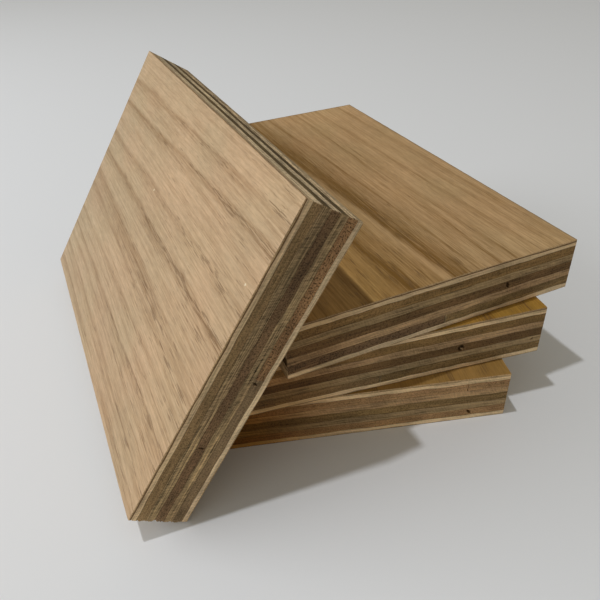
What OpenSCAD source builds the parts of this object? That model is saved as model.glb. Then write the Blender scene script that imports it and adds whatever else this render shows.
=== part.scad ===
// Stack of oak-faced plywood sheets: three lie in a fan, and a fourth stands on
// its long edge and leans on the left side of the fan.
// Each sheet is laid up from nine plies whose grain crosses from ply to ply.
// Millimetres, +Z up. The origin is the centre of the bottom sheet's underside,
// +X runs across that sheet and +Y along it.

/* [Sheet] */
// Length of a sheet, along the grain of its face
sheet_length = 153; // [120:1:240]
// Width of a sheet, across the grain of its face
sheet_width = 101; // [90:1:160]

/* [Lay-up] */
// Thickness of the oak veneer on the face
face_veneer_t = 0.7; // [0.3:0.1:1]
// Thickness of the oak veneer on the back
back_veneer_t = 0.3; // [0.3:0.1:1]
// Thickness of the pale crossband under each oak veneer
crossband_t = 1.5; // [1:0.1:2.5]
// Thickness of each core ply with its grain along the sheet
long_core_t = 2.9; // [2:0.05:3.6]
// Thickness of each core ply with its grain across the sheet
cross_core_t = 2.65; // [2:0.05:3.6]
// Gap between the two strips of a jointed core ply
strip_gap = 0.3; // [0.1:0.1:1]
// Depth of the open voids in the sawn near ends
void_depth = 4; // [2:0.5:10]

/* [Stack] */
// Lean of the leaning sheet from upright, in degrees
lean = 34; // [25:1:40]
// Turn of the bottom sheet from the line of the leaning one, in degrees
bottom_turn = 16.5; // [0:0.25:25]
// Turn of the middle sheet from the line of the leaning one, in degrees
middle_turn = 8.75; // [0:0.25:25]
// Turn of the top sheet from the line of the leaning one, in degrees
top_turn = 0; // [0:0.25:25]
// Distance of the bottom sheet's corner from the leaning sheet's near end
bottom_setback = 23; // [0:1:40]
// Distance of the middle sheet's corner from the leaning sheet's near end
middle_setback = 15; // [0:1:40]
// Distance of the top sheet's corner from the leaning sheet's near end
top_setback = 6; // [0:1:40]
// Clearance between the leaning sheet and the corners that it leans on
lean_clearance = 0.2; // [0.1:0.05:0.5]

/* [Hidden] */
// The stacked sheets from the floor up, then the leaning one
SHEETS = ["bottom_sheet", "middle_sheet", "top_sheet", "leaning_sheet"];
STACKED = len(SHEETS) - 1;
TURNS = [bottom_turn, middle_turn, top_turn];
SETBACKS = [bottom_setback, middle_setback, top_setback];

// The plies of a sheet from its back to its face. Core plies are numbered from the face.
CORE_PLIES = 5;
PLIES = [
    "back_veneer", "lower_crossband",
    for (number = [CORE_PLIES : -1 : 1]) str("core_ply_", number),
    "upper_crossband", "face_veneer"
];
PLY_T = [
    back_veneer_t, crossband_t,
    for (number = [CORE_PLIES : -1 : 1]) runs_along(number) ? long_core_t : cross_core_t,
    crossband_t, face_veneer_t
];
FACE = len(PLIES) - 1;
UPPER_BAND = FACE - 1;
sheet_t = height_below(len(PLIES));

// For each sheet, the core ply that is made of two strips, and where the strips
// meet as a share of the width
STRIP_PLY = [1, 5, 5, 5];
STRIP_PLACE_SHARES = [0.86, 0.44, 0.52, 0.51];

// For each sheet, the core ply with an open void in its near end, the void's place
// as a share of the width, its size as shares of the ply's thickness, and its slant
VOID_PLY = [5, 3, 3, 3];
VOID_PLACE_SHARES = [0.875, 0.71, 0.745, 0.275];
VOID_WIDTH_SHARES = [0.3, 0.7, 0.4, 0.2];
VOID_HEIGHT_SHARES = [0.85, 0.85, 0.8, 0.75];
VOID_SLANTS = [35, 15, -12, 5];

// How far a cutting shape runs past the face that it cuts
overrun = 1;

OAK = "#bd9f77";
PALE_BAND = "#a8946c";
END_GRAIN_CORE = "#5d4c34";
LONG_GRAIN_CORE = "#83704f";

// Height of the underside of a ply above the back of its sheet
function height_below(ply) = ply == 0 ? 0 : height_below(ply - 1) + PLY_T[ply - 1];

// Number of a core ply, counted from the face
function core_number(ply) = UPPER_BAND - ply;

// Whether the grain of a core ply runs along the sheet: that of every odd one does
function runs_along(number) = number % 2 == 1;

// Near left corner of a stacked sheet's underside, measured from the near end of
// the leaning sheet's foot. Its top corner clears the leaning sheet's back.
function corner(level) = [
    (level + 1) * sheet_t * tan(lean) + lean_clearance / cos(lean),
    SETBACKS[level],
    level * sheet_t
];

// A whole ply at its height in a sheet that has its near left corner at the origin
module blank(ply) {
    translate([0, 0, height_below(ply)]) cube([sheet_width, sheet_length, PLY_T[ply]]);
}

// The gap between the two strips of a jointed ply, along the whole length
module strip_joint(ply, place_share) {
    translate([sheet_width * place_share, -overrun, height_below(ply) - overrun])
        cube([strip_gap, sheet_length + 2 * overrun, PLY_T[ply] + 2 * overrun]);
}

// An eye-shaped bar, two arcs wide, that lies along Y
module eye_bar(width, height, length) {
    radius = (width * width + height * height) / (4 * width);
    offset_from_centre = radius - width / 2;
    rotate([-90, 0, 0]) intersection_for (side = [-1, 1])
        translate([side * offset_from_centre, 0, 0]) cylinder(r = radius, h = length, $fn = 96);
}

// The open void that a split or a knot leaves in the near end of a core ply
module end_void(ply, sheet) {
    translate([
        sheet_width * VOID_PLACE_SHARES[sheet], -overrun, height_below(ply) + PLY_T[ply] / 2
    ])
        rotate([0, VOID_SLANTS[sheet], 0])
            eye_bar(
                PLY_T[ply] * VOID_WIDTH_SHARES[sheet],
                PLY_T[ply] * VOID_HEIGHT_SHARES[sheet],
                void_depth + overrun
            );
}

// Oak veneer of a sheet's face or back
module veneer(ply) {
    color(OAK) blank(ply);
}

// Pale ply under an oak veneer, with its grain across the sheet
module crossband(ply) {
    color(PALE_BAND) blank(ply);
}

// Core ply. The odd ones run along the sheet and show end grain at the near end.
module core_ply(ply, sheet) {
    number = core_number(ply);
    color(runs_along(number) ? END_GRAIN_CORE : LONG_GRAIN_CORE) difference() {
        blank(ply);
        if (number == STRIP_PLY[sheet]) strip_joint(ply, STRIP_PLACE_SHARES[sheet]);
        if (number == VOID_PLY[sheet]) end_void(ply, sheet);
    }
}

module ply_of(sheet, ply) {
    if (ply == 0 || ply == FACE) veneer(ply);
    else if (ply == 1 || ply == UPPER_BAND) crossband(ply);
    else core_ply(ply, sheet);
}

// Sets the bottom sheet square to the axes, with the centre of its underside at the origin
module stack_frame() {
    translate([-sheet_width / 2, -sheet_length / 2, 0])
        rotate(bottom_turn) translate(-corner(0)) children();
}

// Puts a sheet in its place, in the fan or leaning on it
module place(sheet) {
    stack_frame() {
        if (sheet < STACKED) translate(corner(sheet)) rotate(-TURNS[sheet]) children();
        else rotate([0, lean - 90, 0]) children();
    }
}

for (sheet = [0 : len(SHEETS) - 1], ply = [0 : FACE])
    place(sheet) ply_of(sheet, ply);
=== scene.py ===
"""Looks of a stack of oak-faced plywood sheets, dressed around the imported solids.

Three sheets lie in a fan and a fourth stands on its long edge and leans on them.
Each ply is a closed surface with sawn edges, eased arrises, strip joints and open
voids, and each wood is a solid texture that shows end grain where its fibres end
and long grain where they run along the edge. Lengths are millimetres until a mesh
is made, and metres in Blender.
"""

import logging
import math
from dataclasses import dataclass, field, replace
from enum import Enum
from typing import Sequence, Union

import bpy
import numpy as np
from mathutils import Matrix, Vector


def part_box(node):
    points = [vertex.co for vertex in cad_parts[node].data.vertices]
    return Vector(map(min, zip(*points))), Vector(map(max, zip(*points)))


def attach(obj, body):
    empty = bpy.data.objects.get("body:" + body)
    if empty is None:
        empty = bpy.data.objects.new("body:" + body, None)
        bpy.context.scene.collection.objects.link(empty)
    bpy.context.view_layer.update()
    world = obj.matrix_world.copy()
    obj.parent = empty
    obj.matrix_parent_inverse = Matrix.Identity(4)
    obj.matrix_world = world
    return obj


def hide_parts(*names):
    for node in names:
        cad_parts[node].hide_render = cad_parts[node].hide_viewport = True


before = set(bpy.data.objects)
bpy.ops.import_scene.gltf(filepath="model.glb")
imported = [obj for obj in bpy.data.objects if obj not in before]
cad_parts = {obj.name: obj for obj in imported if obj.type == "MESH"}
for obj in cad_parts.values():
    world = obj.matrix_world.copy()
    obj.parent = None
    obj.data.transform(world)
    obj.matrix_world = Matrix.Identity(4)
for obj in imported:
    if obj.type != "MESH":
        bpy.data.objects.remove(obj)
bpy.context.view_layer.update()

log = logging.getLogger("plywood_stack")

MM = 0.001
# An edge of a mesh that turns by more than this stays sharp.
SHARP = math.radians(40)
HALF_PI = math.pi / 2
Triple = tuple[float, float, float]
Colour = Triple
Socket = bpy.types.NodeSocket
Outputs = bpy.types.bpy_prop_collection
Feed = Union[Socket, float, tuple]
# What a mesh tells the woods at each point, beside its place in the sheet.
MARKS = ("at_end", "on_face", "level", "strip", "fresh")


class SheetPlace(Enum):
    """The sheets, from the floor up, and then the leaning one."""

    BOTTOM = "bottom_sheet"
    MIDDLE = "middle_sheet"
    TOP = "top_sheet"
    LEANING = "leaning_sheet"


class Grain(Enum):
    """Direction of a ply's fibres: along the sheet's length or across it."""

    ALONG = "along"
    ACROSS = "across"


class Layer(Enum):
    """What a ply is in the lay-up, with the record's material slot for it."""

    VENEER = "oak_veneer"
    CROSSBAND = "crossband"
    CORE_ALONG = "core_along"
    CORE_ACROSS = "core_across"


@dataclass(frozen=True)
class Layup:
    """Sizes of a sheet and of its plies, in millimetres."""

    length: float = 153.0
    width: float = 101.0
    face_veneer: float = 0.7
    back_veneer: float = 0.3
    crossband: float = 1.5
    long_core: float = 2.9
    cross_core: float = 2.65
    core_count: int = 5
    strip_gap: float = 0.3

    def plies(self) -> list[tuple[str, float]]:
        """The plies of a sheet.

        Returns:
            Name and thickness of each, from the back to the face. Core plies are numbered
            from the face, and the odd ones run along the sheet.
        """
        cores = [
            (f"core_ply_{number}", self.long_core if number % 2 else self.cross_core)
            for number in range(self.core_count, 0, -1)
        ]
        return [
            ("back_veneer", self.back_veneer),
            ("lower_crossband", self.crossband),
            *cores,
            ("upper_crossband", self.crossband),
            ("face_veneer", self.face_veneer),
        ]

    @property
    def thickness(self) -> float:
        """Thickness of the whole sheet."""
        return sum(t for _, t in self.plies())


@dataclass(frozen=True)
class Arrangement:
    """How the sheets lie: lean and turns in degrees, setbacks and clearance in millimetres."""

    layup: Layup
    lean: float = 34.0
    turns: Triple = (16.5, 8.75, 0.0)
    setbacks: Triple = (23.0, 15.0, 6.0)
    clearance: float = 0.2

    def corner(self, level: int) -> Vector:
        """Near left corner of a stacked sheet's underside.

        Args:
            level: Number of the sheet, from the floor up.

        Returns:
            Its place from the near end of the leaning sheet's foot, in mm.
        """
        lean = math.radians(self.lean)
        across = (level + 1) * self.layup.thickness * math.tan(lean) + self.clearance / math.cos(lean)
        return Vector((across, self.setbacks[level], level * self.layup.thickness))

    def placement(self, place: SheetPlace) -> Matrix:
        """Matrix from a sheet's own millimetres to the shared frame's.

        Args:
            place: Which sheet.

        Returns:
            The sheet's turn and shift, with the bottom sheet centred on the origin.
        """
        layup = self.layup
        centred = (
            Matrix.Translation((-layup.width / 2, -layup.length / 2, 0))
            @ Matrix.Rotation(math.radians(self.turns[0]), 4, "Z")
            @ Matrix.Translation(-self.corner(0))
        )
        if place is SheetPlace.LEANING:
            return centred @ Matrix.Rotation(math.radians(self.lean - 90), 4, "Y")
        level = list(SheetPlace).index(place)
        turned = Matrix.Rotation(math.radians(-self.turns[level]), 4, "Z")
        return centred @ Matrix.Translation(self.corner(level)) @ turned


@dataclass(frozen=True)
class Wood:
    """Tones of one wood: where its fibres end, where they run along, and its figure.

    Attributes:
        end: Colour of the sawn end grain.
        along: Colour of an edge along the fibres.
        speckle: Strength of the dark pores in the end grain.
        streak: Strength of the light and dark streaks along the ply.
    """

    end: Colour
    along: Colour
    speckle: float = 0.35
    streak: float = 0.4


PALE = Wood((0.54, 0.385, 0.22), (0.70, 0.505, 0.288), 0.25, 0.2)
CREAM = Wood((0.43, 0.32, 0.18), (0.80, 0.60, 0.36), 0.2, 0.15)
BROWN = Wood((0.267, 0.158, 0.058), (0.62, 0.48, 0.29))
TAN = Wood((0.285, 0.182, 0.083), (0.62, 0.48, 0.29), 0.3)
OLIVE = Wood((0.125, 0.082, 0.032), (0.345, 0.235, 0.114), 0.35, 0.45)
PLUM = Wood((0.185, 0.105, 0.042), (0.62, 0.48, 0.29))
STREAKED = Wood((0.125, 0.082, 0.032), (0.368, 0.253, 0.127), 0.35, 0.7)
MAUVE = Wood((0.205, 0.122, 0.06), (0.62, 0.48, 0.29), 0.5)
PINK_TAN = Wood((0.14, 0.088, 0.036), (0.46, 0.295, 0.15), 0.3, 0.35)
GREY_OLIVE = Wood((0.125, 0.082, 0.032), (0.36, 0.25, 0.128), 0.35, 0.4)
DARK_OLIVE = Wood((0.25, 0.16, 0.066), (0.60, 0.46, 0.27))
ASH_BROWN = Wood((0.245, 0.163, 0.085), (0.60, 0.46, 0.27))
RED_BROWN = Wood((0.335, 0.187, 0.085), (0.62, 0.46, 0.27), 0.7)
ROSE = Wood((0.375, 0.223, 0.104), (0.62, 0.46, 0.27), 0.3)
OAK_EDGE = Wood((0.45, 0.30, 0.15), (0.50, 0.33, 0.17), 0.3, 0.3)
WHITE: Colour = (1.0, 1.0, 1.0)
DARK_LINE: Colour = (0.17, 0.09, 0.033)
FRESH: Colour = (0.50, 0.34, 0.18)
# Painted shade: a darker, redder tone for the left of the near ends, where the leaning sheet shades them.
PAINTED_SHADE: Colour = (0.45, 0.26, 0.04)


@dataclass(frozen=True)
class EndVoid:
    """An eye-shaped hole that a split or a knot leaves in a core ply's near end.

    Attributes:
        core: Number of the core ply, from the face.
        place: Share of the width, from the sheet's left or its foot.
        width_share: Width as a share of the ply's thickness.
        height_share: Height as a share of the ply's thickness.
        slant: Slant from the sheet's normal, in degrees.
        depth: Depth behind the near end, in mm.
        rise: Shift up from the ply's middle, in mm.
        chip: (across, up, radius) from its middle of a pale chip left in it, in mm.
    """

    core: int
    place: float
    width_share: float
    height_share: float
    slant: float
    depth: float = 4.0
    rise: float = 0.0
    chip: Union[Triple, None] = None


@dataclass(frozen=True)
class StripJoint:
    """A core ply made of two strips: its number, the joint's place and the far strip's wood."""

    core: int
    place: float
    second: Wood


@dataclass(frozen=True)
class Figure:
    """Figure of an oak face: growth bands across the sheet, and how they drift along it.

    Attributes:
        bands: (place across the face, half width, darkness) of each dark band, in mm. A band with
            a half width below 0 fades the other way.
        drift: (place across the face, shift by the near end) of the bands, in mm.
        light: Colour of the pale wood.
        dark: Colour of the dark bands.
        seed: Shift of the noise.
        flecks: (across, along, radius) of small pale flecks, in the sheet's millimetres.
        painted_bounce_span: Places across the face, in mm, between which the pale wood turns gold as
            painted bounce light.
        far_shade_and_sheen: Tint of the far end beside the near one: painted shade and a painted greying
            sheen.
        near_bands: Darkness of the bands at the near end beside the far one.
        rim: Strength of the dark rim along the right edge and the far end.
        pores: Number of the pores beside that on the leaning sheet.
    """

    bands: tuple[Triple, ...]
    drift: tuple[tuple[float, float], ...]
    light: Colour
    dark: Colour
    seed: float
    flecks: tuple[Triple, ...] = ()
    painted_bounce_span: Union[tuple[float, float], None] = None
    far_shade_and_sheen: Colour = WHITE
    near_bands: float = 1.0
    rim: float = 0.0
    pores: float = 1.0

    # Slope of a band's near side and reach of its far side, in half widths.
    RISE = 1.6
    FALL = 1.1

    def rings(self, width: float, count: int = 160) -> list[tuple[float, float]]:
        """Darkness across the face, from 0 to 1 both ways.

        Args:
            width: Width of the face.
            count: Number of points.

        Returns:
            Points of the darkest of the bands there. Each band rises in a short straight line
            and then dies away slowly on its other side, as a growth ring does.
        """
        place = np.linspace(0, width, count)[:, None]
        middle, half, dark = np.array(self.bands).T
        t = (place - middle) / half
        bump = np.where(t < 0, np.clip(1 + self.RISE * t, 0, 1), np.exp(-t / self.FALL))
        tone = (dark * bump).max(1)
        return list(zip((place[:, 0] / width).tolist(), tone.tolist()))


PALE_OAK: Colour = (0.59, 0.408, 0.236)
DARK_OAK: Colour = (0.33, 0.188, 0.082)
# Painted warm bounce light for an oak face in the shade under the leaning sheet.
PAINTED_BOUNCE_OAK: Colour = (0.46, 0.272, 0.086)
PORE: Colour = (0.165, 0.09, 0.033)
FLECK: Colour = (0.80, 0.70, 0.48)


@dataclass(frozen=True)
class Stain:
    """A dark stain in the near end: its place across and up the sheet, in mm, and its depth of tone."""

    across: float = 0.0
    up: float = 0.0
    depth: float = 0.0


@dataclass(frozen=True)
class SheetDesign:
    """What makes one sheet unlike the others.

    Attributes:
        cores: Woods of the core plies, from the face.
        voids: Open voids in the near end.
        joint: Where one core ply is made of two strips.
        face: Figure of the oak face.
        stain: A dark stain in the near end.
        fade: Tone of the edges from the sheet's left or foot to its other side: wood tone and painted light
            and shade.
        ragged_foot: Whether the near end of the foot is torn.
        sawn: Strength of the saw marks.
        band_fade: Tone of the crossbands beside the other plies, at the same two sides.
        dark_line: Strength of the dark line under the face.
        painted_shade: How far, in mm, and how strongly the left of the near end is darkened as painted
            shade, where the leaning sheet shades it.
    """

    cores: tuple[Wood, Wood, Wood, Wood, Wood]
    voids: tuple[EndVoid, ...]
    joint: StripJoint
    face: Figure
    stain: Stain = Stain()
    fade: tuple[float, float] = (1.0, 1.0)
    ragged_foot: bool = False
    sawn: float = 0.65
    band_fade: tuple[float, float] = (1.0, 1.0)
    dark_line: float = 1.0
    painted_shade: tuple[float, float] = (0.0, 0.0)


LEANING_FACE = Figure(
    bands=(
        (3.0, 1.2, 0.15), (12.5, 1.8, 0.68), (17.0, 0.7, 0.2), (21.5, 1.5, 0.88), (29.0, 1.0, 0.15),
        (36.0, 2.0, 0.58), (44.0, 1.6, 1.0), (51.0, 0.8, 0.1), (54.0, 4.5, 0.72), (59.5, 2.2, 0.72),
        (65.0, 1.0, 0.35), (72.0, 0.9, 0.62), (76.0, 0.7, 0.45), (80.0, 1.1, 0.75), (84.5, 0.8, 0.5),
        (89.5, 0.9, 0.65), (92.5, 0.7, 0.5), (97.0, 1.2, 0.75),
    ),
    drift=(
        (0, 5), (7, 5.5), (14.2, 7.3), (20, 6.5), (31, 5), (36, 3.5), (42, 2), (50, -2), (60.3, -6.6),
        (61.8, -2.3), (66, 2), (68, 4), (77, 3), (86, 1), (91, -2), (101, 1),
    ),
    light=PALE_OAK,
    dark=DARK_OAK,
    seed=3.7,
    flecks=((74.8, 4.9, 0.45), (66.3, 84.2, 0.5)),
    # Painted shade and sheen: the far end darker and greyer.
    far_shade_and_sheen=(0.894, 0.953, 0.998),
    near_bands=0.5,
)
# Under the leaning sheet this face takes painted warm bounce light from 53 to 74 mm, and its band at 66 mm
# is deepened partly as painted shade.
TOP_FACE = Figure(
    bands=(
        (7.0, 1.2, 0.3), (12.5, 0.8, 0.25), (19.5, 0.9, 0.45), (27.0, 0.9, 0.4), (29.8, 1.0, 0.5),
        (33.5, 1.0, 0.35), (44.3, 1.4, 0.7), (54.0, -6.5, 0.8), (56.0, -4.0, 0.93), (62.0, 3.0, 0.42),
        (66.0, 2.2, 0.95), (70.2, 1.4, 0.5), (74.0, 1.2, 0.8), (78.0, 1.2, 0.4), (84.0, 0.9, 0.3),
        (90.0, 1.4, 0.6), (96.0, 1.2, 0.4),
    ),
    drift=(
        (0, 5), (13, 6), (19, 6), (25, 3), (30, 0), (33, 1.5), (37, 6), (41, 9.5), (47, 10), (52, 10),
        (60, 6), (72, 0), (83, -5), (101, -3),
    ),
    light=(0.53, 0.345, 0.17),
    dark=(0.20, 0.097, 0.014),
    seed=11.3,
    painted_bounce_span=(53.0, 74.0),
    rim=0.4,
    pores=0.55,
)
# The middle sheet's face: its deep gold is partly the oak's own and partly painted warm bounce light from
# the sheet above.
GOLDEN_BOUNCE_FACE = Figure(
    bands=(
        (8.0, 1.5, 0.5), (19.0, 2.5, 0.6), (33.0, 1.2, 0.4), (41.0, 1.6, 0.6), (52.0, 3.0, 0.7),
        (63.0, 1.2, 0.4), (75.0, 2.0, 0.55), (86.0, 1.0, 0.4), (95.0, 1.6, 0.5),
    ),
    drift=((0, 3), (40, -4), (101, 4)),
    light=(0.432, 0.237, 0.041),
    dark=(0.25, 0.12, 0.016),
    seed=23.9,
)
# The bottom sheet's face, in tones that are partly painted warm bounce light from the sheet above.
PLAIN_FACE = replace(GOLDEN_BOUNCE_FACE, light=(0.375, 0.214, 0.058), dark=(0.24, 0.13, 0.03), seed=41.7)
BACK_FACE = replace(PLAIN_FACE, light=(0.50, 0.30, 0.065), dark=(0.30, 0.16, 0.03), seed=59.1)

DESIGNS: dict[SheetPlace, SheetDesign] = {
    SheetPlace.BOTTOM: SheetDesign(
        cores=(ROSE, PINK_TAN, DARK_OLIVE, GREY_OLIVE, ROSE),
        voids=(EndVoid(5, 0.875, 0.3, 0.85, -35),),
        joint=StripJoint(1, 0.86, ROSE),
        face=PLAIN_FACE,
        fade=(1.1, 1.3),
        band_fade=(1.05, 1.08),
        dark_line=0.2,
        painted_shade=(56.0, 0.9),
    ),
    SheetPlace.MIDDLE: SheetDesign(
        cores=(BROWN, PINK_TAN, PLUM, GREY_OLIVE, TAN),
        voids=(
            EndVoid(3, 0.71, 0.7, 0.85, 15, chip=(0.45, -0.55, 0.5)),
            EndVoid(4, 0.965, 0.25, 0.6, 60, 0.7),
        ),
        joint=StripJoint(5, 0.44, DARK_OLIVE),
        face=GOLDEN_BOUNCE_FACE,
        fade=(1.1, 0.98),
        band_fade=(1.2, 1.2),
        dark_line=0.35,
        painted_shade=(46.0, 0.65),
    ),
    SheetPlace.TOP: SheetDesign(
        cores=(BROWN, OLIVE, PLUM, PINK_TAN, MAUVE),
        voids=(EndVoid(3, 0.745, 0.4, 0.8, -12),),
        joint=StripJoint(5, 0.52, DARK_OLIVE),
        face=TOP_FACE,
        fade=(1.0, 1.06),
        band_fade=(1.05, 0.98),
        painted_shade=(30.0, 0.35),
    ),
    SheetPlace.LEANING: SheetDesign(
        cores=(TAN, STREAKED, MAUVE, STREAKED, ASH_BROWN),
        voids=(EndVoid(3, 0.275, 0.2, 0.75, 5), EndVoid(5, 0.502, 0.26, 0.5, 20, 0.9, 0.6)),
        joint=StripJoint(5, 0.51, RED_BROWN),
        face=LEANING_FACE,
        stain=Stain(85.0, 10.2, 0.35),
        fade=(1.36, 0.98),
        ragged_foot=True,
        sawn=1.3,
        band_fade=(0.95, 0.84),
    ),
}


class LatticeNoise:
    """Smooth noise in two directions: random heights on a lattice, blended between its points."""

    def __init__(self, seed: int, size: int = 128) -> None:
        """Draws the lattice's heights, from -1 to 1."""
        self.heights = np.random.default_rng(seed).uniform(-1, 1, (size, size))
        self.size = size

    def __call__(self, u: np.ndarray, v: np.ndarray) -> np.ndarray:
        """Heights at (u, v): a cubic step blends the four lattice points around each.

        Args:
            u: Places one way, in steps of the lattice.
            v: Places the other way.

        Returns:
            The heights, from -1 to 1.
        """
        iu, iv = np.floor(u).astype(int), np.floor(v).astype(int)
        fu, fv = u - iu, v - iv
        fu, fv = fu * fu * (3 - 2 * fu), fv * fv * (3 - 2 * fv)
        h, n = self.heights, self.size
        low = h[iu % n, iv % n] * (1 - fu) + h[(iu + 1) % n, iv % n] * fu
        high = h[iu % n, (iv + 1) % n] * (1 - fu) + h[(iu + 1) % n, (iv + 1) % n] * fu
        return low * (1 - fv) + high * fv


@dataclass
class Surface:
    """A closed surface in a sheet's own millimetres, ready to become a mesh.

    Attributes:
        points: (n, 3) places of its vertices.
        grain: (n, 3) places before relief, which the woods read.
        at_end: (n,) 1 on the sheet's short ends, 0 on its long edges.
        on_face: (n,) 1 on the ply's flat faces, 0 on its sawn edges.
        level: (n,) 0 at the ply's underside and 1 at its upper side.
        strip: (n,) 0 on the first strip of the ply and 1 on the second.
        fresh: (n,) 1 where the wood is freshly torn.
        quads: (q, 4) vertex numbers of the four-sided faces, outward.
        triangles: (t, 3) vertex numbers of the three-sided ones.
    """

    points: np.ndarray
    grain: np.ndarray
    at_end: np.ndarray
    on_face: np.ndarray
    level: np.ndarray
    strip: np.ndarray
    fresh: np.ndarray
    quads: np.ndarray
    triangles: np.ndarray

    @staticmethod
    def joined(parts: Sequence["Surface"]) -> "Surface":
        """One surface from several, with the vertex numbers of each shifted past the last.

        Args:
            parts: The surfaces.

        Returns:
            The joined surface.
        """
        starts = np.cumsum([0] + [len(part.points) for part in parts])
        return Surface(
            *(np.concatenate([getattr(p, name) for p in parts]) for name in ("points", "grain", *MARKS)),
            quads=np.concatenate([p.quads + start for p, start in zip(parts, starts)]),
            triangles=np.concatenate([p.triangles + start for p, start in zip(parts, starts)]),
        )


@dataclass
class PlyStrip:
    """One strip of a ply: a rounded rectangle with a profile carried round its outline.

    Attributes:
        left: Where the strip starts across the sheet.
        right: Where it ends.
        bottom: Height of its underside in the sheet.
        thickness: Thickness of the ply.
        layup: The sheet's sizes.
        number: 0 for the first strip of a ply, 1 for the second.
        seed: Seed of its relief.
        voids: The open voids in its near end.
        eased: -1 to ease the lower arris, 1 for the upper one, 0 for neither.
        ragged: Whether the near end of its foot is torn.
        waves: Seeds of the waves of its lower and upper glue line, 0 where it is flat.
        corner: Radius of its corners.
        step: Spacing of the points of its outline.
        arris: Radius of an eased arris.
        relief: Depth of the sawn relief.
        tear: Depth of the torn foot.
        wave: Height of the waves of a glue line.
    """

    left: float
    right: float
    bottom: float
    thickness: float
    layup: Layup
    number: int
    seed: int
    voids: tuple[EndVoid, ...] = ()
    eased: int = 0
    ragged: bool = False
    waves: tuple[int, int] = (0, 0)
    corner: float = 0.3
    step: float = 1.0
    arris: float = 0.16
    relief: float = 0.035
    tear: float = 0.8
    wave: float = 0.16

    # Closer points: their reach beside a void and at a torn foot, in mm, and their number.
    VOID_REACH, VOID_POINTS = 1.8, 61
    TORN_UP, TORN_UP_POINTS = 4, 18
    TORN_ALONG, TORN_ALONG_POINTS = 9, 36
    BEND_POINTS = 6
    # Rows up a ply that has voids, is eased, is torn or is plain.
    VOID_ROWS, EASED_ROWS, TORN_ROWS, PLAIN_ROWS = 41, 4, 14, 6
    # How the rows of an eased arris pass from the sawn edge to the face.
    ARRIS_ON_FACE = (0, 0, 0.2, 1)
    # Lumps of the sawn relief per mm round the rim and up it, and waves of a glue line per mm.
    RELIEF_ROUND, RELIEF_UP = 0.45, 1.3
    WAVES_PER_MM = 0.22
    # How far the radius of an arris varies, and how often per mm.
    WEAR, WEAR_PER_MM = 0.45, 0.35
    # Wobble and wall of a void, depth and rim of a chip, in mm, and lumps of the wobble per mm.
    VOID_WOBBLE, VOID_WALL = 0.06, 0.09
    CHIP_DEPTH, CHIP_RIM = 0.25, 0.12
    WOBBLE_PER_MM = 3
    # The torn foot: its seed, its notch's middle and half width, and its reach, in mm.
    TORN_SEED = 77
    NOTCH, NOTCH_HALF = 10.4, 0.6
    TORN_FADE_ALONG, TORN_FADE_UP = 3.5, 1.5
    # How far its notch, its teeth and its narrow teeth are cut, as shares, and how fresh it looks.
    NOTCH_SHARE, TEETH_SHARE, NARROW_SHARE = 0.75, 0.8, 0.6
    TORN_FRESH = 0.5

    def outline(self) -> tuple[np.ndarray, np.ndarray]:
        """Points of the outline and its outward normals, anticlockwise from the near left.

        Returns:
            (n, 2) points and (n, 2) unit normals. Straight edges have a point about every
            step, closer at a void and at a torn foot, and each corner is a quarter circle.
        """
        r, length = self.corner, self.layup.length
        x = np.linspace(self.left + r, self.right - r, max(2, int((self.right - self.left) / self.step)))
        y = np.linspace(r, length - r, int(length / self.step))
        for void in self.voids:
            middle = void.place * self.layup.width
            x = np.append(x, middle + np.linspace(-self.VOID_REACH, self.VOID_REACH, self.VOID_POINTS))
        if self.ragged:
            x = np.append(x, np.linspace(self.left + r, self.left + self.TORN_UP, self.TORN_UP_POINTS))
            y = np.append(y, np.linspace(r, self.TORN_ALONG, self.TORN_ALONG_POINTS))
        x, y = np.unique(np.round(x, 4)), np.unique(np.round(y, 4))
        turn = np.linspace(0, HALF_PI, self.BEND_POINTS)[1:-1]

        def edge(xs: np.ndarray, ys: np.ndarray, nx: float, ny: float) -> np.ndarray:
            """Rows of a straight edge: its points and the normal that they share."""
            return np.stack(np.broadcast_arrays(xs, ys, nx, ny), 1)

        def bend(cx: float, cy: float, start: float) -> np.ndarray:
            """Rows of a quarter circle about (cx, cy), from the start angle on."""
            c, s = np.cos(turn + start), np.sin(turn + start)
            return np.stack([cx + r * c, cy + r * s, c, s], 1)

        rows = np.concatenate([
            edge(x, np.zeros(1), 0, -1),
            bend(self.right - r, r, -HALF_PI),
            edge(np.full(1, self.right), y, 1, 0),
            bend(self.right - r, length - r, 0),
            edge(x[::-1], np.full(1, length), 0, 1),
            bend(self.left + r, length - r, HALF_PI),
            edge(np.full(1, self.left), y[::-1], -1, 0),
            bend(self.left + r, r, 2 * HALF_PI),
        ])
        return rows[:, :2], rows[:, 2:]

    def profile(self) -> tuple[np.ndarray, np.ndarray, np.ndarray]:
        """Heights, insets and flat-face marks of the rows from the underside up.

        Returns:
            Shares of the thickness, insets in arris radii, and 1 where the row lies on a face.
        """
        rows = self.TORN_ROWS if self.ragged else self.PLAIN_ROWS
        if self.eased:
            rows = self.EASED_ROWS
        if self.voids:
            rows = self.VOID_ROWS
        shares = np.linspace(0, 1, rows)
        inset = np.zeros_like(shares)
        on_face = np.zeros_like(shares)
        if self.eased:
            turn = np.linspace(0, HALF_PI, len(self.ARRIS_ON_FACE) + 1)[1:]
            reach = self.arris / self.thickness
            straight = shares * (1 - reach)
            shares = np.append(straight, 1 - reach * (1 - np.sin(turn)))
            inset = np.append(inset, 1 - np.cos(turn))
            on_face = np.append(on_face, self.ARRIS_ON_FACE)
        if self.eased < 0:
            shares, inset, on_face = 1 - shares[::-1], inset[::-1], on_face[::-1]
        return shares, inset, on_face

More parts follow.
